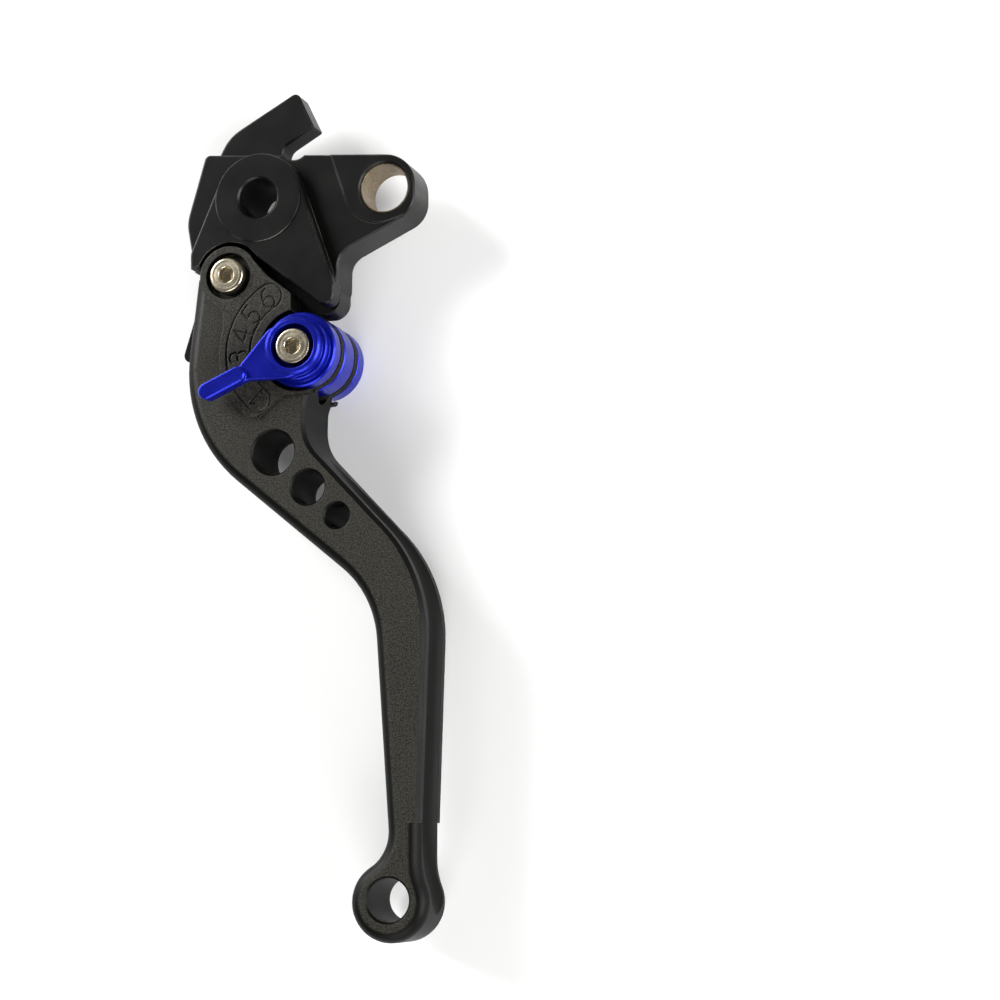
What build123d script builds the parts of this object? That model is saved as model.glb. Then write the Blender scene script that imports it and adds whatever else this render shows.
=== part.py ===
from build123d import *
import math
import os

os.makedirs("parts", exist_ok=True)

# An adjustable clutch lever. All sizes are millimetres.
# The origin is on the axis of the bore that the lever swings on, halfway along that bore.
# +X points back to the rider's grip, -Y runs out to the ball end, and +Z is the face with the dial.

# Lever base: the part that stays on the perch
pivot_bore_r = 4.0
pivot_bore_half = 8.0
pivot_boss_r = 9.2
base_bottom = -3.8
field_top = 5.0
plate_top = 7.8
hook_top = 1.3
actuator_centre = (25.8, 0.9)
actuator_bore_r = 5.05
actuator_liner_r = 4.8
actuator_pad_top = 5.35
actuator_liner_top = 4.75
base_chamfer = 0.3

# Blade: the part that the fingers pull
blade_half = 7.25
pad_face = 8.0
blade_pivot = (-6.0, -15.75)
fork_boss_r = 6.1
front_edge_r = 2.7
grip_edge_r = 0.8
grip_bend_r = 30.0
groove_r = 6.6
hole_chamfer = 0.4
ball_centre = (28.2, -139.2)
ball_outline_centre = (28.1, -139.6)
ball_r = 7.8
ball_hole_r = 4.2
neck_y = -124.5
neck_left = 27.5
neck_right = 34.3
neck_front_r = 8.0
neck_grip_r = 14.0
front_lean = 0.074
lightening_holes = [(3.8, -51.9, 4.35), (11.1, -59.1, 3.4), (17.2, -64.9, 2.45)]

# Fork slot between the two ears of the blade
slot_bottom = -4.2
slot_top = 2.4
slot_middle = (slot_bottom + slot_top) / 2
slot_half = (slot_top - slot_bottom) / 2
slot_play = 0.15

# Blade pivot screw and its sleeve
screw_head_r = 3.5
screw_head_height = 3.2
screw_shank_r = 2.0
hex_across_flats = 3.0
hex_depth = 2.0
pivot_recess_r = 4.75
pivot_recess_floor = 6.0
pivot_sleeve_r = 3.0
running_fit = 0.05
nut_across_flats = 7.0
nut_thickness = 2.6

# Reach adjuster: thumb lever, cam and cap on one axis
dial_axis = (9.3, -31.6)
drum_r = 7.6
ear_r = 7.6
dial_recess_r = 8.4
cam_recess_r = 8.3
upper_ear_top = 3.7
lower_ear_bottom = -5.7
washer_thickness = 1.15
upper_washer_r = 6.6
lower_washer_r = 5.4
cap_bottom = -9.8
hub_r = 5.7
hub_top = 12.0
hub_recess_r = 4.5
hub_recess_floor = 8.6
dial_screw_head_top = 11.9
spindle_r = 3.0
spindle_bore_r = 3.1
spindle_flat = 2.5
spindle_bottom = -7.6
number_step = 20.4
rest_number = 2
rest_angle = 204.6
thumb_reach = 21.4
thumb_underside = 9.8
web_top = 11.5
grip_top = 12.6
grip_width = 3.3
grip_length = 10.5

# Cam: its lift falls by one step from each number to the next
cam_top_r = 7.7
cam_lift = 0.35
cam_contact = 85.0
cam_top = 2.25
cam_bottom = -2.95
nose_gap = 0.12
nose_r = 1.6

# Numbers cut in the pad
number_r = 12.75
number_height = 4.0
number_width = 2.3
band_r = 12.95
band_height = 5.5
stroke = 0.42
engraving = 0.25
pad_r = 17.0

# Return spring between the base's tail and the blade
spring_y = -28.6
spring_start = -12.8
spring_end = -3.2
spring_r = 1.9
spring_wire_r = 0.35
spring_turns = 6
spring_pocket_r = 2.6
rib_left = -5.2


def rounded_face(corners):
    """Flat face from corners (x, y, radius). Radius 0 is sharp, and -1 starts its arc at the corner before."""
    count = len(corners)
    starts = []
    arcs = []
    for i in range(count):
        here = Vector(*corners[i][:2])
        before = Vector(*corners[i - 1][:2]) - here
        after = Vector(*corners[(i + 1) % count][:2]) - here
        radius = corners[i][2]
        if radius == 0:
            starts.append((here, here))
            arcs.append(None)
            continue
        half = math.radians(before.get_angle(after)) / 2
        if radius < 0:
            radius = before.length * math.tan(half)
        run = radius / math.tan(half)
        first = here + before.normalized() * run
        last = here + after.normalized() * run
        inward = (before.normalized() + after.normalized()).normalized()
        crown = here + inward * (radius / math.sin(half) - radius)
        starts.append((first, last))
        arcs.append(crown)
    edges = []
    for i in range(count):
        first, last = starts[i]
        if arcs[i] is not None:
            edges.append(Edge.make_three_point_arc(first, arcs[i], last))
        following = starts[(i + 1) % count][0]
        if (following - last).length > 1e-6:
            edges.append(Edge.make_line(last, following))
    return Face(Wire(edges))


def slab(corners, bottom, top):
    """Straight-sided plate with a rounded outline, from one height to another."""
    return Pos(0, 0, bottom) * extrude(rounded_face(corners), top - bottom, dir=(0, 0, 1))


def disc(centre, radius, bottom, top):
    """Upright cylinder from one height to another."""
    return Pos(centre[0], centre[1], (bottom + top) / 2) * Cylinder(radius, top - bottom)


def cone_edge(centre, radius, size, face, outward):
    """Cutter for a 45 degree chamfer round the mouth of a bore in the face at this height."""
    low, high = (radius, radius + 2 * size) if outward > 0 else (radius + 2 * size, radius)
    return Pos(centre[0], centre[1], face) * Cone(low, high, 2 * size)


def bore(centre, radius, bottom, top, chamfer):
    """Cutter for a through bore with chamfered mouths."""
    hole = disc(centre, radius, bottom - 1, top + 1)
    hole += cone_edge(centre, radius, chamfer, top, 1)
    hole += cone_edge(centre, radius, chamfer, bottom, -1)
    return hole


def polar(centre, radius, angle):
    """Point at a distance and a direction in degrees from a centre."""
    turn = math.radians(angle)
    return (centre[0] + radius * math.cos(turn), centre[1] + radius * math.sin(turn))


def edges_near(shape, height, tolerance=0.01):
    """Edges that lie flat at one height."""
    return shape.edges().filter_by_position(Axis.Z, height - tolerance, height + tolerance)


def lever_base():
    """Machined base: pivot plate, arm to the actuator bore, switch hook and fork tongue."""
    field_corners = [
        (-12.6, 10.5, 1.2), (32.3, 7.2, 6.6), (32.3, -4.1, 5.4), (16.2, -11.9, 4.0),
        (16.1, -24.6, 3.4), (-3.3, -9.5, 0), (-14.5, -14.1, 0.4), (-16.5, -3.4, 8.0),
    ]
    field = slab(field_corners, base_bottom, field_top)
    plate = slab([
        (-8.55, 3.4, 0), (-14.4, -10.6, 2.5), (-14.3, -14.0, 0.3), (-3.3, -9.5, 0),
        (16.3, -24.7, 2.0), (16.3, -18.6, 3.0), (8.95, 2.2, 0),
    ], field_top - 1, plate_top)
    plate += disc((0, 0), pivot_boss_r, field_top - 1, plate_top)
    plate = chamfer(edges_near(plate, plate_top), base_chamfer)
    fork_relief = disc(blade_pivot, 7.0, slot_top - slot_play, plate_top + 2)
    hook = slab([
        (-12.0, 8.0, 0), (-11.1, 11.1, 0), (-9.2, 15.05, 9.0), (5.7, 23.5, 1.2),
        (9.45, 15.8, 0.4), (2.3, 11.6, 2.4), (3.4, 8.0, 0),
    ], base_bottom, hook_top)
    hook = chamfer(edges_near(hook, hook_top), base_chamfer)
    field -= disc((6.6, 11.1), 3.0, base_bottom - 1, field_top + 1)
    field = chamfer(edges_near(field, field_top), base_chamfer)
    actuator_pad = slab(field_corners, field_top - 1, actuator_pad_top) & slab([
        (14.2, 9.0, 0), (20.0, -8.0, 7.5), (31.0, -4.8, 0), (40.0, -4.8, 0), (40.0, 9.0, 0),
    ], field_top - 1, actuator_pad_top)
    actuator_pad = chamfer(edges_near(actuator_pad, actuator_pad_top), base_chamfer)
    upper = field + plate + actuator_pad - fork_relief
    upper += hook
    upper += disc((0, 0), pivot_boss_r, -pivot_bore_half, base_bottom + 1)
    upper += disc((0, 0), pivot_boss_r - 0.2, plate_top - 1, pivot_bore_half)
    whole = upper + fork_tongue()
    whole -= bore((0, 0), pivot_bore_r, -pivot_bore_half, pivot_bore_half, hole_chamfer)
    whole -= disc(actuator_centre, actuator_bore_r, base_bottom - 1, field_top + 2)
    whole -= cone_edge(actuator_centre, actuator_bore_r, base_chamfer, actuator_pad_top, 1)
    return whole


def fork_tongue():
    """Tongue of the base inside the fork, with the nose that bears on the cam and the stop tail."""
    top = slot_top - slot_play
    nose = polar(dial_axis, cam_top_r - cam_lift + nose_gap + nose_r, cam_contact)
    tongue = slab([
        (-13.6, -8.0, 0), (-13.9, -17.5, 6.0), (-18.0, -31.2, 1.5), (-14.2, -32.6, 1.2),
        (-12.2, -22.6, 2.0), (-5.0, -23.0, 3.0), (7.6, -21.9, 1.0), (9.0, -23.6, 0),
        (15.9, -23.6, 3.4), (15.9, -10.0, 0),
    ], base_bottom, top)
    tongue += disc(nose, nose_r, base_bottom, top)
    tongue -= disc(blade_pivot, pivot_sleeve_r + running_fit, base_bottom - 1, top + 1)
    return tongue


def blade_outline():
    """Corners of the blade's outline, from the fork down to the neck of the ball."""
    return [
        (-1.5, -11.9, 0), (2.2, -16.1, 8.0), (7.3, -20.0, 0.5), (7.4, -24.3, 0), (dial_axis[0], -31.6, 0),
        (11.6, -38.6, 0), (10.3, -42.5, 5.0), (10.2, -49.75, 9.0), (35.75, -76.6, grip_bend_r),
        (neck_right, neck_y, 0), (neck_left, neck_y, 0), (24.35, -80.5, 20.0), (-16.9, -46.95, 29.0),
        (-13.5, -15.8, 0), (blade_pivot[0], blade_pivot[1], 0),
    ]


def neck_arc(side_x, lean, bend):
    """Start, middle and end of the arc from a side of the neck to the ball. Bend is negative at the front."""
    down = Vector(lean, -1).normalized()
    outward = Vector(1, lean).normalized() * bend
    start = Vector(side_x, neck_y) + outward - Vector(*ball_outline_centre)
    along = -start.dot(down) - math.sqrt(start.dot(down) ** 2 - start.length ** 2 + (ball_r + abs(bend)) ** 2)
    middle = Vector(*ball_outline_centre) + start + down * along
    to_ball = (Vector(*ball_outline_centre) - middle).normalized() * abs(bend)
    crown = (to_ball - outward).normalized() * abs(bend)
    return middle - outward, middle + crown, middle + to_ball


def ball_end():
    """Ball at the end of the blade with its neck, all with broad rounded rims."""
    front = neck_arc(neck_left, front_lean, -neck_front_r)
    grip = neck_arc(neck_right, 0, neck_grip_r)
    outline = Wire([
        Edge.make_line((neck_left, neck_y), (neck_right, neck_y)),
        Edge.make_line((neck_right, neck_y), grip[0]),
        Edge.make_three_point_arc(*grip),
        Edge.make_three_point_arc(grip[2], polar(ball_outline_centre, ball_r, -80), front[2]),
        Edge.make_three_point_arc(*front[::-1]),
        Edge.make_line(front[0], (neck_left, neck_y)),
    ])
    ball = Pos(0, 0, -blade_half) * extrude(Face(outline), 2 * blade_half, dir=(0, 0, 1))
    rims = [edge for edge in ball.edges() if abs(edge.center().Z) > blade_half - 0.01]
    return fillet([edge for edge in rims if edge.center().Y < neck_y - 0.5], front_edge_r)


def number_pad(bottom, top):
    """Raised pad that carries the numbers."""
    pad = slab([
        (-1.5, -11.9, 0), (2.2, -16.1, 8.0), (7.3, -20.0, 0.5), (7.4, -24.3, 0), (12.3, -34.0, 0),
        (11.8, -40.5, 0.8), (5.2, -40.7, 3.2), (0.4, -44.9, 0), (-0.6, -41.9, 0), (-0.5, -35.0, 0),
        (-7.0, -30.0, 0), (-7.0, -23.0, 2.0), (-10.6, -20.0, 0), (-6.0, -15.75, 0),
    ], bottom, top)
    sector = Plane.XY * make_face(Polyline(
        dial_axis, polar(dial_axis, 2 * pad_r, 152), polar(dial_axis, 2 * pad_r, 190),
        polar(dial_axis, 2 * pad_r, 226), close=True))
    sweep_arc = Pos(0, 0, bottom) * extrude(sector, top - bottom, dir=(0, 0, 1))
    pad += sweep_arc & disc(dial_axis, pad_r, bottom, top)
    pad += disc(polar(dial_axis, pad_r - 3.0, 226), 3.0, bottom, top)
    pad += disc(blade_pivot, fork_boss_r, bottom, top)
    return pad


def digit_strokes(digit):
    """Centre lines of one digit in a box of unit width and unit height."""
    loop = [(0.5 + 0.5 * math.cos(t * math.pi / 6), 0.3 + 0.3 * math.sin(t * math.pi / 6)) for t in range(13)]
    belly = [(0.5 + 0.5 * math.cos(t * math.pi / 6), 0.3 + 0.3 * math.sin(t * math.pi / 6)) for t in range(-5, 5)]
    crown = [(0.5 + 0.45 * math.cos(t * math.pi / 6), 0.77 + 0.23 * math.sin(t * math.pi / 6)) for t in range(-2, 6)]
    shapes = {
        1: [[(0.2, 0.78), (0.55, 1.0), (0.55, 0.0)]],
        2: [[(0.05, 0.78)] + crown[::-1][1:-1] + [(0.0, 0.0), (1.0, 0.0)]],
        3: [crown[::-1] + [(0.5, 0.56)], belly + [(0.5, 0.6)]],
        4: [[(0.75, 0.0), (0.75, 1.0), (0.0, 0.3), (1.0, 0.3)]],
        5: [[(0.95, 1.0), (0.15, 1.0), (0.08, 0.55)] + [(0.5, 0.62)] + belly[::-1]],
        6: [loop, [(0.0, 0.3), (0.12, 0.68), (0.4, 0.93), (0.8, 1.0)]],
    }
    return shapes[digit]


def number_cutter(digit):
    """Cutter for one digit, its top pointing away from the dial axis."""
    angle = rest_angle - (digit - rest_number) * number_step
    place = Pos(*polar(dial_axis, number_r, angle), pad_face - engraving) * Rot(0, 0, angle - 90)
    cutter = None
    for line in digit_strokes(digit):
        points = [((x - 0.5) * number_width, (y - 0.5) * number_height) for x, y in line]
        for first, last in zip(points, points[1:]):
            length = math.dist(first, last)
            turn = math.degrees(math.atan2(last[1] - first[1], last[0] - first[0]))
            middle = ((first[0] + last[0]) / 2, (first[1] + last[1]) / 2)
            groove = Pos(*middle, 0) * Rot(0, 0, turn) * extrude(
                SlotCenterToCenter(length, stroke), 2 * engraving, dir=(0, 0, 1))
            cutter = groove if cutter is None else cutter + groove
    return place * cutter


def band_cutter():
    """Cutter for the thin line round the row of numbers."""
    first = rest_angle - 4.15 * number_step
    arc = CenterArc(dial_axis, band_r, first, 5.3 * number_step)
    ring = SlotArc(arc, band_height) - SlotArc(arc, band_height - 2 * stroke)
    return Pos(0, 0, pad_face - engraving) * extrude(ring, 2 * engraving, dir=(0, 0, 1))


def fork_slot():
    """Space between the ears, for the tongue, the cam and the return spring."""
    slot = slab([
        (-30.0, -8.0, 0), (-30.0, -34.2, 0), (rib_left, -34.2, 2.0), (rib_left, -24.6, 1.5),
        (1.0, -24.6, 3.0), (1.8, -33.0, 6.0), (5.2, -38.0, 0), (20.0, -38.0, 0), (20.0, -8.0, 0),
    ], slot_bottom, slot_top)
    slot += disc(dial_axis, cam_recess_r, slot_bottom, slot_top)
    slot += Pos(12.0, -38.0, slot_middle) * Rot(0, 90, 0) * Cylinder(slot_half, 12.0)
    pocket_length = spring_end - rib_left + 1.4
    slot += Pos(rib_left + pocket_length / 2 - 1.0, spring_y, slot_middle) * Rot(0, 90, 0) * Cylinder(
        spring_pocket_r, pocket_length)
    return slot


def finger_groove():
    """Cutter for the long hollow down the side of the blade that faces the grip, fading out at both ends."""
    path = FilletPolyline(
        (16.7, -46.6), (26.2, -59.4), (40.8, -74.7), (38.7, -129.0), (42.6, -143.0),
        radius=[60.0, grip_bend_r + 4.6, 40.0])
    return sweep(Plane(origin=path @ 0, z_dir=path % 0) * Circle(groove_r), path=path)


def lever_blade():
    """Forked blade with its lightening holes, finger groove, number pad and ball end."""
    body = slab(blade_outline(), -blade_half, blade_half)
    body = fillet([edge for edge in body.edges() if is_front(edge)], front_edge_r)
    body = chamfer([edge for edge in body.edges() if is_grip_side(edge)], grip_edge_r)
    body += disc(blade_pivot, fork_boss_r, -blade_half, blade_half)
    body += disc(dial_axis, ear_r, -blade_half, blade_half)
    body += ball_end()
    body -= finger_groove()
    body += number_pad(blade_half - 0.5, pad_face)
    body += number_pad(-pad_face, 0.5 - blade_half)
    body -= disc(dial_axis, dial_recess_r, upper_ear_top, pad_face + 1)
    body -= disc(dial_axis, dial_recess_r, -pad_face - 1, lower_ear_bottom)
    body -= fork_slot()
    body -= disc(dial_axis, spindle_bore_r + running_fit, -pad_face, pad_face)
    body -= disc(blade_pivot, screw_shank_r + running_fit, -pad_face - 1, pad_face + 1)
    body -= disc(blade_pivot, pivot_recess_r, pivot_recess_floor, pad_face + 1)
    nut_pocket = RegularPolygon(nut_across_flats / 2 + running_fit, 6, major_radius=False)
    nut_floor = -pad_face + nut_thickness
    body -= Pos(*blade_pivot, nut_floor) * extrude(nut_pocket, nut_thickness + 1, dir=(0, 0, -1))
    for x, y, radius in lightening_holes:
        body -= bore((x, y), radius, -blade_half, blade_half, hole_chamfer)
    body -= bore(ball_centre, ball_hole_r, -blade_half, blade_half, hole_chamfer)
    body -= band_cutter()
    for digit in range(1, 7):
        body -= number_cutter(digit)
    return body


def is_rim(edge):
    """True for an edge of the blade's outline on either face, between the fork and the ball."""
    middle = edge.center()
    return abs(abs(middle.Z) - blade_half) < 0.01 and neck_y + 0.5 < middle.Y < -24


def is_front(edge):
    """True for a rim edge on the side of the blade that faces forward."""
    middle = edge.center()
    centre_line = -1.0 + 0.83 * max(0.0, min(-45.0 - middle.Y, 38.5))
    return is_rim(edge) and middle.X < centre_line


def is_grip_side(edge):
    """True for a rim edge on the side of the blade that faces the grip."""
    return is_rim(edge) and not is_front(edge) and edge.center().Y < -44


def hex_socket_screw(centre, head_top, shank_bottom, head_height):
    """Socket head screw standing on its axis, with a rounded rim and a plain face."""
    head = disc(centre, screw_head_r, head_top - head_height, head_top)
    head = fillet(edges_near(head, head_top), 0.5)
    socket = extrude(RegularPolygon(hex_across_flats / 2, 6, major_radius=False), hex_depth, dir=(0, 0, -1))
    head -= Pos(centre[0], centre[1], head_top) * socket
    shank = disc(centre, screw_shank_r, shank_bottom, head_top - head_height + 0.1)
    shank = chamfer(edges_near(shank, shank_bottom), 0.4)
    return head + shank


def pivot_screw():
    """Screw that the blade turns on."""
    return hex_socket_screw(blade_pivot, pivot_recess_floor + screw_head_height, -pad_face + 0.3, screw_head_height)


def pivot_sleeve():
    """Steel sleeve between the ears, round the pivot screw."""
    sleeve = disc(blade_pivot, pivot_sleeve_r, slot_bottom, slot_top)
    return sleeve - disc(blade_pivot, screw_shank_r + running_fit, slot_bottom - 1, slot_top + 1)


def pivot_nut():
    """Thin nut let into the lower ear."""
    nut = extrude(RegularPolygon(nut_across_flats / 2, 6, major_radius=False), nut_thickness, dir=(0, 0, 1))
    nut = chamfer(edges_near(nut, 0), 0.3)
    return Pos(*blade_pivot, -pad_face) * nut - disc(blade_pivot, screw_shank_r, -pad_face - 1, 0)


def actuator_bush():
    """Thin liner of the actuator bore."""
    liner = disc(actuator_centre, actuator_bore_r, base_bottom, actuator_liner_top)
    return liner - disc(actuator_centre, actuator_liner_r, base_bottom - 1, field_top + 1)


def cam_radius(angle):
    """Cam radius at a direction of the cam, in degrees, when the dial is at rest."""
    lead = cam_contact - number_step
    fall = max(0.0, min(angle - lead, 5 * number_step)) * cam_lift / number_step
    rise = max(0.0, min(1.0, (angle - lead - 5 * number_step - 45) / 30))
    return cam_top_r - fall * (1 - rise)


def keyed_bar(bottom, top):
    """Round bar with two flats, which turns the dial, the cam and the cap together."""
    bar = disc(dial_axis, spindle_r, bottom, top)
    keyed = Pos(dial_axis[0], dial_axis[1], (bottom + top) / 2) * Box(4 * spindle_r, 2 * spindle_flat, top - bottom)
    return bar & keyed


def adjuster_cam():
    """Cam drum between the ears, with a shallow flat for the nose at each number."""
    points = [polar(dial_axis, cam_radius(angle), angle) for angle in range(60, 252, 4)]
    spiral = Spline(*points)
    back = ThreePointArc(points[-1], polar(dial_axis, cam_top_r, -24), points[0])
    drum = Pos(0, 0, cam_bottom) * extrude(make_face([spiral, back]), cam_top - cam_bottom, dir=(0, 0, 1))
    drum = chamfer(edges_near(drum, cam_top), 0.35)
    for digit in range(1, 7):
        angle = cam_contact + (digit - rest_number) * number_step
        reach = cam_radius(angle) - 0.06
        flat = Pos(*dial_axis, 0) * Rot(0, 0, angle) * Pos(reach + 1.5, 0, 0) * Box(3.0, 2.6, 8.0)
        drum -= flat
    return drum - keyed_bar(cam_bottom - 1, cam_top + 1)


def thumb_lever():
    """Dial flange, hub and thumb lever in one piece."""
    flange = disc(dial_axis, drum_r, upper_ear_top + washer_thickness, pad_face)
    flange = chamfer(edges_near(flange, pad_face), 0.35)
    tier = disc(dial_axis, hub_r + 0.8, pad_face - 0.5, thumb_underside + 0.2)
    tier = fillet(edges_near(tier, thumb_underside + 0.2), 0.5)
    hub = disc(dial_axis, hub_r, pad_face - 0.5, hub_top)
    hub = chamfer(edges_near(hub, hub_top), 0.4)
    web = Pos(0, 0, thumb_underside) * extrude(
        rounded_face(web_corners()), web_top - thumb_underside, dir=(0, 0, 1))
    web = chamfer(edges_near(web, web_top), 0.25)
    middle = polar(dial_axis, thumb_reach - grip_length / 2, rest_angle)
    grip = extrude(SlotOverall(grip_length, grip_width), grip_top - thumb_underside, dir=(0, 0, 1))
    grip = chamfer(edges_near(grip, grip_top - thumb_underside), 0.3)
    grip = Pos(*middle, thumb_underside) * Rot(0, 0, rest_angle) * grip
    whole = flange + tier + hub + web + grip
    whole -= disc(dial_axis, hub_recess_r, hub_recess_floor, hub_top + 1)
    return whole - keyed_bar(0, hub_recess_floor + 1)


def web_corners():
    """Corners of the web: tangent to the hub on both sides and narrowing to the thumb grip."""
    def placed(along, across, radius):
        x, y = polar(dial_axis, along, rest_angle)
        turn = math.radians(rest_angle + 90)
        return (x + across * math.cos(turn), y + across * math.sin(turn), radius)
    half_grip = grip_width / 2
    return [
        placed(0, hub_r - 0.1, 0), placed(3.6, hub_r - 0.4, 4.0), placed(11.5, half_grip, 3.0),
        placed(thumb_reach - 3.0, half_grip, 0), placed(thumb_reach - 3.0, -half_grip, 0),
        placed(11.8, -half_grip, 3.0), placed(3.4, -hub_r + 0.2, 0), placed(0, -hub_r + 0.1, 0),
    ]


def thrust_washer(radius, bottom):
    """Thin washer beside an ear of the fork."""
    washer = disc(dial_axis, radius, bottom, bottom + washer_thickness)
    return washer - disc(dial_axis, spindle_bore_r, bottom - 1, bottom + 2 * washer_thickness)


def adjuster_cap():
    """Lower cap, threaded on the dial screw."""
    cap = disc(dial_axis, drum_r, cap_bottom, lower_ear_bottom - 0.1)
    cap = chamfer(edges_near(cap, lower_ear_bottom - 0.1), 0.35)
    cap = chamfer(edges_near(cap, cap_bottom), 0.6)
    cap -= keyed_bar(spindle_bottom, 0)
    return cap - disc(dial_axis, screw_shank_r, cap_bottom - 1, 0)


def adjuster_spindle():
    """Hollow steel spindle with two flats, clamped between the thumb lever and the cap."""
    bar = keyed_bar(spindle_bottom, hub_recess_floor)
    return bar - disc(dial_axis, screw_shank_r + running_fit, spindle_bottom - 1, hub_recess_floor + 1)


def adjuster_screw():
    """Screw that clamps the thumb lever, spindle and cap together."""
    height = dial_screw_head_top - hub_recess_floor
    return hex_socket_screw(dial_axis, dial_screw_head_top, cap_bottom + 0.4, height)


def reach_spring():
    """Coil spring that holds the cam against the nose."""
    length = spring_end - spring_start
    pitch = (length - 2 * spring_wire_r) / spring_turns
    helix = Helix(pitch, pitch * spring_turns, spring_r)
    profile = Plane(origin=helix @ 0, z_dir=helix % 0) * Circle(spring_wire_r)
    coil = sweep(profile, path=helix, is_frenet=True)
    return Pos(spring_start + spring_wire_r, spring_y, slot_middle) * Rot(0, 90, 0) * coil


builders = {
    "lever_base": lever_base,
    "actuator_bush": actuator_bush,
    "lever_blade": lever_blade,
    "pivot_screw": pivot_screw,
    "pivot_sleeve": pivot_sleeve,
    "pivot_nut": pivot_nut,
    "thumb_lever": thumb_lever,
    "adjuster_screw": adjuster_screw,
    "adjuster_spindle": adjuster_spindle,
    "adjuster_cam": adjuster_cam,
    "adjuster_cap": adjuster_cap,
    "upper_washer": lambda: thrust_washer(upper_washer_r, upper_ear_top),
    "lower_washer": lambda: thrust_washer(lower_washer_r, slot_bottom),
    "reach_spring": reach_spring,
}

for name, builder in builders.items():
    export_step(builder(), f"parts/{name}.step")
    print(name)
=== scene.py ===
import math

import bpy
from mathutils import Matrix, Vector


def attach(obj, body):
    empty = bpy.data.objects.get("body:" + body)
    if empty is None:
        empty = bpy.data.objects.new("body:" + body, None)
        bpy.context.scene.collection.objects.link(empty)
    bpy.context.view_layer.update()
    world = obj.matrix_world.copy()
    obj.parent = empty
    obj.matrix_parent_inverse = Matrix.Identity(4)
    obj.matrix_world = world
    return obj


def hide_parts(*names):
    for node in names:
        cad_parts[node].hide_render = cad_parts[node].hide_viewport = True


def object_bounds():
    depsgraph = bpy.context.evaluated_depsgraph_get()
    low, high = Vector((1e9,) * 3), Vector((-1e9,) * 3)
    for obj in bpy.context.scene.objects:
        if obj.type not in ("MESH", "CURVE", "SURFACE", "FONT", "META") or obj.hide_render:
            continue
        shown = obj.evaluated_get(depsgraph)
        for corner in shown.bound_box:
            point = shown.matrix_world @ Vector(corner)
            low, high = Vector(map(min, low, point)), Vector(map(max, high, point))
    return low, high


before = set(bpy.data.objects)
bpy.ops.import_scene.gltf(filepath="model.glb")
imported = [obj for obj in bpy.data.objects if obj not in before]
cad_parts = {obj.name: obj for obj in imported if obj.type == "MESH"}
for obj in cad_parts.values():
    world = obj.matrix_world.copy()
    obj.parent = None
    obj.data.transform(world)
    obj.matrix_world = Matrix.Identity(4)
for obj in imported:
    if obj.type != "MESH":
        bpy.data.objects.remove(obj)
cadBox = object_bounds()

# An adjustable clutch lever. Metres, in the same frame as the design: the origin is the middle of
# the pivot bore, +Z is the face with the dial, and -Y runs out to the ball end.
mm = 0.001
print("frame loaded:", len(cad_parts), "nodes")

bpy.context.scene.view_settings.view_transform = "Standard"

# Camera: a little to the right of the dial, square to the lever's length
camera = {
    "place": (180.7 * mm, -130.1 * mm, 461.1 * mm),
    "right": (0.9612, 0.0, -0.2758),
    "up": (0.0387, 0.9901, 0.1348),
    "lens": 89.46,
    "sensor": 36.0,
}
cameraData = bpy.data.cameras.new("camera")
cameraData.lens = camera["lens"]
cameraData.sensor_width = camera["sensor"]
eye = bpy.data.objects.new("camera", cameraData)
right = Vector(camera["right"]).normalized()
back = right.cross(Vector(camera["up"])).normalized()
turn = Matrix((right, back.cross(right), back)).transposed().to_4x4()
eye.matrix_world = Matrix.Translation(camera["place"]) @ turn
bpy.context.scene.collection.objects.link(eye)
bpy.context.scene.camera = eye

# Studio: a dim room over white paper, so that tops stay dark and walls pick up the paper
studio = {
    "sky": 0.09,
    "floorSize": 6.0,
    "floorGap": 0.1 * mm,
    "floorColour": "FBFBFA",
    "lights": {  # place, target, width, height, watts
        "key": ((-0.95, 0.55, 0.55), (0.0, -0.05, 0.0), 0.7, 0.7, 26.0),
        "sideBox": ((1.2, -0.2, 0.45), (0.0, -0.06, 0.0), 1.0, 0.7, 26.0),
        "foot": ((0.1, -1.3, 0.7), (0.0, -0.06, 0.0), 1.0, 0.7, 14.0),
    },
}
world = bpy.data.worlds.new("studio")
world.use_nodes = True
world.node_tree.nodes["Background"].inputs["Color"].default_value = (1.0, 1.0, 1.0, 1.0)
world.node_tree.nodes["Background"].inputs["Strength"].default_value = studio["sky"]
bpy.context.scene.world = world
for name, (place, target, width, height, watts) in studio["lights"].items():
    lampData = bpy.data.lights.new(name, "AREA")
    lampData.shape = "RECTANGLE"
    lampData.size = width
    lampData.size_y = height
    lampData.energy = watts
    lamp = bpy.data.objects.new(name, lampData)
    lamp.location = place
    lamp.rotation_euler = (Vector(place) - Vector(target)).to_track_quat("Z", "Y").to_euler()
    bpy.context.scene.collection.objects.link(lamp)
print("camera and lights made:", len(studio["lights"]), "lights")


# Materials
def linear(hexColour):  # sRGB hex to linear RGBA
    values = []
    for i in (0, 2, 4):
        c = int(hexColour[i:i + 2], 16) / 255
        values.append(c / 12.92 if c <= 0.04045 else ((c + 0.055) / 1.055) ** 2.4)
    return (*values, 1.0)


def addNode(material, kind, inputs=None, links=None, **settings):
    # one node: its settings, its inputs (a value or another node's output) and where its outputs go
    made = material.node_tree.nodes.new(kind)
    for name, value in settings.items():
        setattr(made, name, value)
    for name, value in (inputs or {}).items():
        if isinstance(value, bpy.types.NodeSocket):
            material.node_tree.links.new(value, made.inputs[name])
        else:
            made.inputs[name].default_value = value
    for name, socket in (links or {}).items():
        material.node_tree.links.new(made.outputs[name], socket)
    return made


def startMaterial(name, **settings):
    material = bpy.data.materials.new(name)
    material.use_nodes = True
    shader = material.node_tree.nodes["Principled BSDF"]
    for key, value in settings.items():
        shader.inputs[key.replace("_", " ")].default_value = value
    return material, shader


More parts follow.
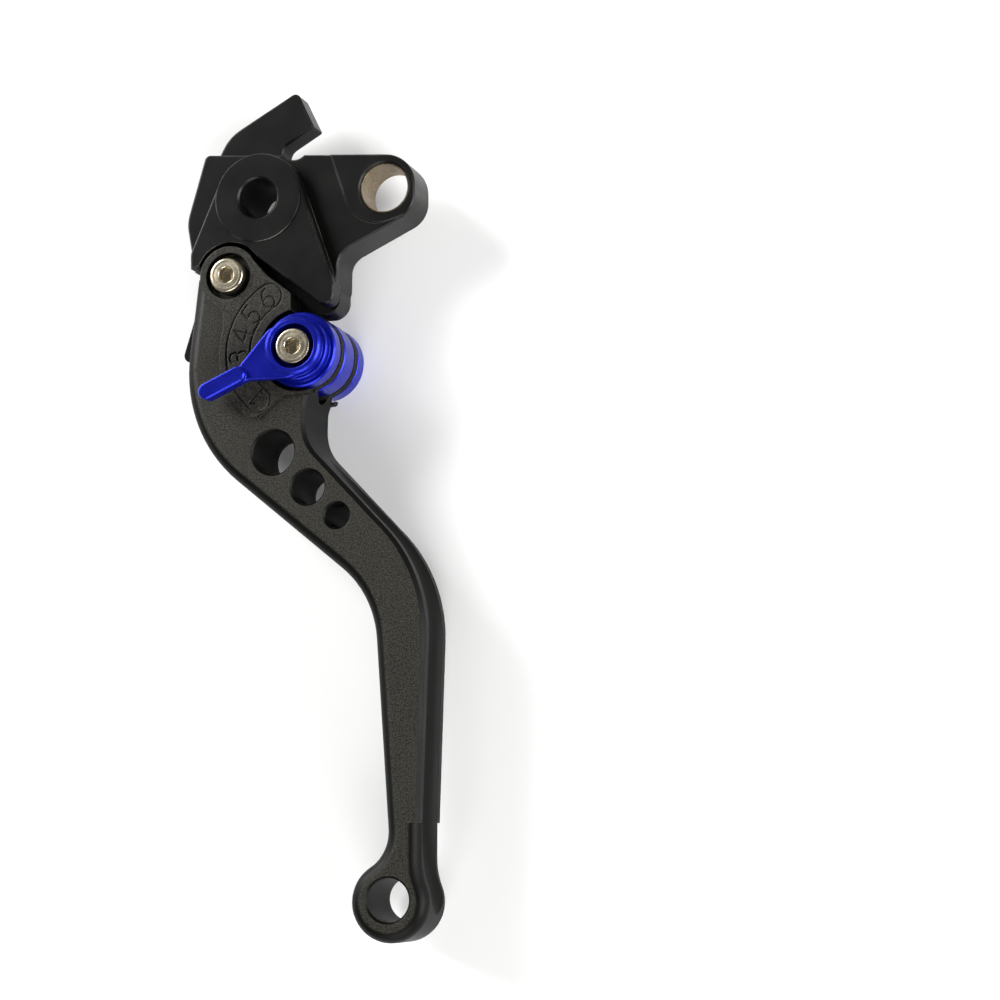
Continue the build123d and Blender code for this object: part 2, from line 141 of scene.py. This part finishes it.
# What every finish shares: ranges that the noise and the normals are read over
ranges = {
    "rubbed": (0.97, 0.80),  # agreement of the rounded and true normals, from untouched to fully rubbed
    "patches": (0.42, 0.62),  # drift, from no rubbing to full
    "glossDrift": (0.3, 0.7),
    "level": (0.94, 0.99),  # how upright a face is, from rounded rim to flat
    "grainPerBump": 5,
}


def finishMaterial(name, look):
    # every finish is the same build: grain in colour and bump, rubbed edges, and a drift in gloss
    material, shader = startMaterial(name, Metallic=look["metallic"], **look.get("shader", {}))
    place = addNode(material, "ShaderNodeTexCoord").outputs["Object"]
    grain = addNode(material, "ShaderNodeTexNoise", {
        "Vector": place, "Scale": 1 / look["grain"], "Detail": 2.0, "Roughness": 0.6})
    drift = addNode(material, "ShaderNodeTexNoise", {
        "Vector": place, "Scale": 1 / look["drift"], "Detail": 3.0})
    tone = addNode(material, "ShaderNodeMapRange", {
        "Value": grain.outputs["Fac"],
        "From Min": 0.5 - look["contrast"], "From Max": 0.5 + look["contrast"]})
    body = addNode(material, "ShaderNodeMix", {
        0: tone.outputs["Result"], 6: linear(look["dark"]), 7: linear(look["light"])}, data_type="RGBA")
    bodyColour = body.outputs[2]
    if "rounded" in look:
        # painted shade: faces that tip away from upright (the rounded rims and the walls) get the near-black
        # rounded tone, darker than the flat faces, and less specular
        ownNormal = addNode(material, "ShaderNodeTexCoord").outputs["Normal"]
        upright = addNode(material, "ShaderNodeSeparateXYZ", {"Vector": ownNormal})
        level = addNode(material, "ShaderNodeMath", {0: upright.outputs["Z"]}, operation="ABSOLUTE")
        flat = addNode(material, "ShaderNodeMapRange", {
            "Value": level.outputs["Value"], "From Min": ranges["level"][0], "From Max": ranges["level"][1]})
        # painted shade: darkens the rims and walls by their tilt
        paintedRimShade = addNode(material, "ShaderNodeMix", {
            0: flat.outputs["Result"], 6: linear(look["rounded"]), 7: bodyColour}, data_type="RGBA")
        bodyColour = paintedRimShade.outputs[2]
        addNode(material, "ShaderNodeMapRange", {
            "Value": flat.outputs["Result"], "To Min": look["shine"][0], "To Max": look["shine"][1]},
            {"Result": shader.inputs["Specular IOR Level"]})
    # rubbed edges: where a rounded normal leaves the true one, broken up by the drift
    softEdge = addNode(material, "ShaderNodeBevel", {"Radius": look["edge"]}, samples=6)
    trueNormal = addNode(material, "ShaderNodeNewGeometry").outputs["Normal"]
    facing = addNode(material, "ShaderNodeVectorMath", {
        0: softEdge.outputs["Normal"], 1: trueNormal}, operation="DOT_PRODUCT")
    rub = addNode(material, "ShaderNodeMapRange", {
        "Value": facing.outputs["Value"], "From Min": ranges["rubbed"][0], "From Max": ranges["rubbed"][1],
        "To Max": look["wear"]})
    broken = addNode(material, "ShaderNodeMapRange", {
        "Value": drift.outputs["Fac"], "From Min": ranges["patches"][0], "From Max": ranges["patches"][1]})
    worn = addNode(material, "ShaderNodeMath", {
        0: rub.outputs["Result"], 1: broken.outputs["Result"]}, operation="MULTIPLY")
    addNode(material, "ShaderNodeMix", {
        0: worn.outputs["Value"], 6: bodyColour, 7: linear(look["bare"])},
        {2: shader.inputs["Base Color"]}, data_type="RGBA")
    addNode(material, "ShaderNodeMapRange", {
        "Value": drift.outputs["Fac"],
        "From Min": ranges["glossDrift"][0], "From Max": ranges["glossDrift"][1],
        "To Min": look["gloss"][0], "To Max": look["gloss"][1]}, {"Result": shader.inputs["Roughness"]})
    addNode(material, "ShaderNodeBump", {
        "Height": grain.outputs["Fac"], "Strength": look["bump"],
        "Distance": look["grain"] / ranges["grainPerBump"],
        "Normal": softEdge.outputs["Normal"]}, {"Normal": shader.inputs["Normal"]})
    return material


looks = {
    # Aluminium, bead blasted and black anodised: a matt charcoal with a fine grey sparkle.
    # Bead marks are usually about 0.1 mm, and are drawn at 0.28 mm so that they show
    "blastedBlackAnodising": {
        "dark": "080807", "light": "3C3A33", "contrast": 0.16, "bare": "6A6761", "metallic": 0.0,
        # painted shade: the rounded tone is the near black painted on rims and walls, darker than the flat
        # tops
        "rounded": "050504", "shine": (0.1, 0.22),
        "grain": 0.28 * mm, "drift": 9 * mm, "edge": 0.25 * mm,
        "wear": 0.5, "gloss": (0.42, 0.5), "bump": 0.35},
    # Milled aluminium, black anodised: smoother and darker, with a soft satin shine
    "satinBlackAnodising": {
        "dark": "060505", "light": "0B0A09", "contrast": 0.25, "bare": "9A978F", "metallic": 0.0,
        "shader": {"Specular_IOR_Level": 0.2},
        "grain": 0.2 * mm, "drift": 7 * mm, "edge": 0.25 * mm,
        "wear": 0.6, "gloss": (0.34, 0.42), "bump": 0.12},
    # Turned aluminium, bright dipped and dyed blue: the metal shines through the dye
    "blueAnodising": {
        "dark": "0A1488", "light": "101EB0", "contrast": 0.25, "bare": "4A5AE0", "metallic": 0.7,
        "grain": 0.25 * mm, "drift": 6 * mm, "edge": 0.3 * mm,
        "wear": 0.6, "gloss": (0.26, 0.36), "bump": 0.1},
    # Nickel plated steel: warm and bright
    "nickelPlate": {
        "dark": "A39A86", "light": "D2C8B0", "contrast": 0.2, "bare": "F0EADC", "metallic": 1.0,
        "grain": 0.3 * mm, "drift": 3 * mm, "edge": 0.06 * mm,
        "wear": 0.6, "gloss": (0.26, 0.4), "bump": 0.15},
    # Ground steel: grey, with a soft line
    "groundSteel": {
        "dark": "7C7C7C", "light": "A8A8A6", "contrast": 0.2, "bare": "D0D0CC", "metallic": 1.0,
        "grain": 0.2 * mm, "drift": 3 * mm, "edge": 0.1 * mm,
        "wear": 0.4, "gloss": (0.25, 0.35), "bump": 0.1},
    # Sintered bearing bronze: tan and grey, worn smooth
    "bearingBronze": {
        "dark": "6E604A", "light": "A6967A", "contrast": 0.2, "bare": "D8CBB0", "metallic": 1.0,
        "grain": 0.35 * mm, "drift": 2 * mm, "edge": 0.1 * mm,
        "wear": 0.7, "gloss": (0.3, 0.5), "bump": 0.3},
    # Black nylon: dull, slightly waxy
    "blackNylon": {
        "dark": "050505", "light": "0A0A0A", "contrast": 0.3, "bare": "202020", "metallic": 0.0,
        "shader": {"Specular_IOR_Level": 0.15},
        "grain": 0.3 * mm, "drift": 3 * mm, "edge": 0.1 * mm,
        "wear": 0.2, "gloss": (0.5, 0.6), "bump": 0.1},
}
materials = {name: finishMaterial(name, look) for name, look in looks.items()}
nodeFinish = {
    "lever_base": "satinBlackAnodising", "lever_blade": "blastedBlackAnodising",
    "actuator_bush": "bearingBronze", "thumb_lever": "blueAnodising", "adjuster_cam": "blueAnodising",
    "adjuster_cap": "blueAnodising", "pivot_screw": "nickelPlate", "adjuster_screw": "nickelPlate",
    "pivot_nut": "nickelPlate", "pivot_sleeve": "groundSteel", "adjuster_spindle": "groundSteel",
    "reach_spring": "groundSteel", "upper_washer": "blackNylon", "lower_washer": "blackNylon",
}
for nodeName, finish in nodeFinish.items():
    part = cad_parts[nodeName]
    part.data.materials.clear()
    part.data.materials.append(materials[finish])
print("finishes made:", len(materials))


# Pieces
smoothAngle = math.radians(35)  # sharper edges than this stay sharp
endFacing = 0.9  # how far along Z a normal must point for a face to be an end
sideFacing = 0.85


def beginShape(add, **settings):
    # deselects all, adds one primitive and gives it back, still selected
    bpy.ops.object.select_all(action="DESELECT")
    add(**settings)
    return bpy.context.active_object


def pickFaces(piece, test):
    # edit mode with just the faces that pass the test (centre, normal) selected
    bpy.ops.object.mode_set(mode="EDIT")
    bpy.ops.mesh.select_mode(type="FACE")
    bpy.ops.mesh.select_all(action="DESELECT")
    bpy.ops.object.mode_set(mode="OBJECT")
    for face in piece.data.polygons:
        face.select = test(piece.matrix_world @ face.center, face.normal)
    bpy.ops.object.mode_set(mode="EDIT")


def applyAll(piece):
    bpy.context.view_layer.objects.active = piece
    for modifier in list(piece.modifiers):
        bpy.ops.object.modifier_apply(modifier=modifier.name)


def combine(piece, other, operation):
    # DIFFERENCE cuts the other shape away, UNION joins it on; either way the other is used up
    modifier = piece.modifiers.new("combine", "BOOLEAN")
    modifier.operation = operation
    modifier.solver = "EXACT"
    modifier.object = other
    applyAll(piece)
    bpy.data.objects.remove(other)


def finishPiece(piece, name, material, body, node):
    # smooth, place applied, and tied to the design
    piece.name = name
    bpy.ops.object.select_all(action="DESELECT")
    piece.select_set(True)
    bpy.context.view_layer.objects.active = piece
    bpy.ops.object.transform_apply(location=True, rotation=True, scale=True)
    bpy.ops.object.shade_smooth_by_angle(angle=smoothAngle)
    piece.data.materials.clear()
    piece.data.materials.append(materials[material])
    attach(piece, body)
    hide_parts(node)


screws = {
    # the blade's pivot screw has a plain rim; the dial's has a knurled one
    "pivot_screw": {"body": "blade", "centre": (-6.0 * mm, -15.75 * mm), "headTop": 9.2 * mm,
                    "headHeight": 3.2 * mm, "knurl": 0, "rim": 0.45 * mm, "shankEnd": -7.7 * mm},
    "adjuster_screw": {"body": "dial", "centre": (9.3 * mm, -31.6 * mm), "headTop": 11.9 * mm,
                       "headHeight": 3.3 * mm, "knurl": 48, "rim": 0.3 * mm, "shankEnd": -9.4 * mm},
}
screwShape = {"headRadius": 3.5 * mm, "shankRadius": 2.0 * mm, "hexFlats": 3.0 * mm, "hexDepth": 1.9 * mm,
              "hexLead": 0.1 * mm, "shankLead": 0.35 * mm, "knurlDepth": 0.16 * mm,
              "ringRadius": 2.75 * mm, "ringDepth": 0.02 * mm, "ringWidth": 0.12 * mm,
              "knurlGap": 0.02 * mm, "floorInset": 0.05 * mm, "drillPoint": 0.7 * mm, "pointTaper": 0.05,
              "shankOverlap": 0.5 * mm, "smoothSides": 96, "shankSides": 64,
              "onAxis": 0.1 * mm}


def makeScrew(node, screw):
    x, y = screw["centre"]
    top = screw["headTop"]
    shape = screwShape
    sides = 2 * screw["knurl"] or shape["smoothSides"]
    head = beginShape(bpy.ops.mesh.primitive_cylinder_add, vertices=sides, radius=shape["headRadius"],
                      depth=screw["headHeight"], location=(x, y, top - screw["headHeight"] / 2))
    # rim, then the flat of the face
    pickFaces(head, lambda centre, normal: normal.z > endFacing)
    bpy.ops.mesh.bevel(offset=screw["rim"], segments=3, affect="EDGES")
    bpy.ops.object.mode_set(mode="OBJECT")
    if screw["knurl"]:
        turnPerSide = 2 * math.pi / sides
        pickFaces(head, lambda centre, normal: abs(normal.z) < sideFacing and round(
            math.atan2(centre.y - y, centre.x - x) / turnPerSide - 0.5) % 2 == 0)
        bpy.ops.mesh.inset(thickness=shape["knurlGap"], depth=-shape["knurlDepth"])
        bpy.ops.object.mode_set(mode="OBJECT")
    # a shallow turned ring round the socket
    axis = Vector((x, y))
    pickFaces(head, lambda centre, normal:
              normal.z > endFacing and (centre.xy - axis).length < shape["onAxis"])
    bpy.ops.mesh.inset(thickness=shape["headRadius"] - screw["rim"] - shape["ringRadius"])
    bpy.ops.mesh.inset(thickness=shape["ringWidth"], depth=-shape["ringDepth"])
    bpy.ops.mesh.inset(thickness=shape["ringWidth"], depth=shape["ringDepth"])
    bpy.ops.object.mode_set(mode="OBJECT")
    # hex socket with a drilled point and a countersunk mouth
    acrossCorners = shape["hexFlats"] / math.cos(math.pi / 6) / 2
    socket = beginShape(bpy.ops.mesh.primitive_cylinder_add, vertices=6, radius=acrossCorners,
                        depth=shape["hexDepth"] * 2, location=(x, y, top))
    pickFaces(socket, lambda centre, normal: normal.z < -endFacing)
    bpy.ops.mesh.inset(thickness=shape["floorInset"])
    bpy.ops.mesh.extrude_region_move(TRANSFORM_OT_translate={"value": (0, 0, -shape["drillPoint"])})
    bpy.ops.transform.resize(
        value=(shape["pointTaper"], shape["pointTaper"], 1.0), center_override=(x, y, top))
    bpy.ops.object.mode_set(mode="OBJECT")
    combine(head, socket, "DIFFERENCE")
    lead = shape["hexLead"]
    mouth = beginShape(bpy.ops.mesh.primitive_cone_add, vertices=shape["smoothSides"],
                       radius1=acrossCorners - lead, radius2=acrossCorners + lead,
                       depth=2 * lead, location=(x, y, top))
    combine(head, mouth, "DIFFERENCE")
    # shank, let into the head and with a chamfered end
    shankTop = top - screw["headHeight"] + shape["shankOverlap"]
    shankEnd = screw["shankEnd"]
    shank = beginShape(bpy.ops.mesh.primitive_cylinder_add, vertices=shape["shankSides"],
                       radius=shape["shankRadius"], depth=shankTop - shankEnd,
                       location=(x, y, (shankTop + shankEnd) / 2))
    pickFaces(shank, lambda centre, normal: normal.z < -endFacing)
    bpy.ops.mesh.bevel(offset=shape["shankLead"], segments=2, affect="EDGES")
    bpy.ops.object.mode_set(mode="OBJECT")
    combine(head, shank, "UNION")
    finishPiece(head, node + "_turned", "nickelPlate", screw["body"], node)


for node, screw in screws.items():
    makeScrew(node, screw)
print("screws made:", len(screws))

# Floor: plain white paper
bpy.ops.object.select_all(action="DESELECT")
floorHeight = cadBox[0][2] - studio["floorGap"]
bpy.ops.mesh.primitive_plane_add(size=studio["floorSize"], location=(0, 0, floorHeight))
floor = bpy.context.active_object
floor.name = "floor"
paper, paperShader = startMaterial("paper", Roughness=0.9)
paperShader.inputs["Base Color"].default_value = linear(studio["floorColour"])
floor.data.materials.append(paper)

print("floor made")
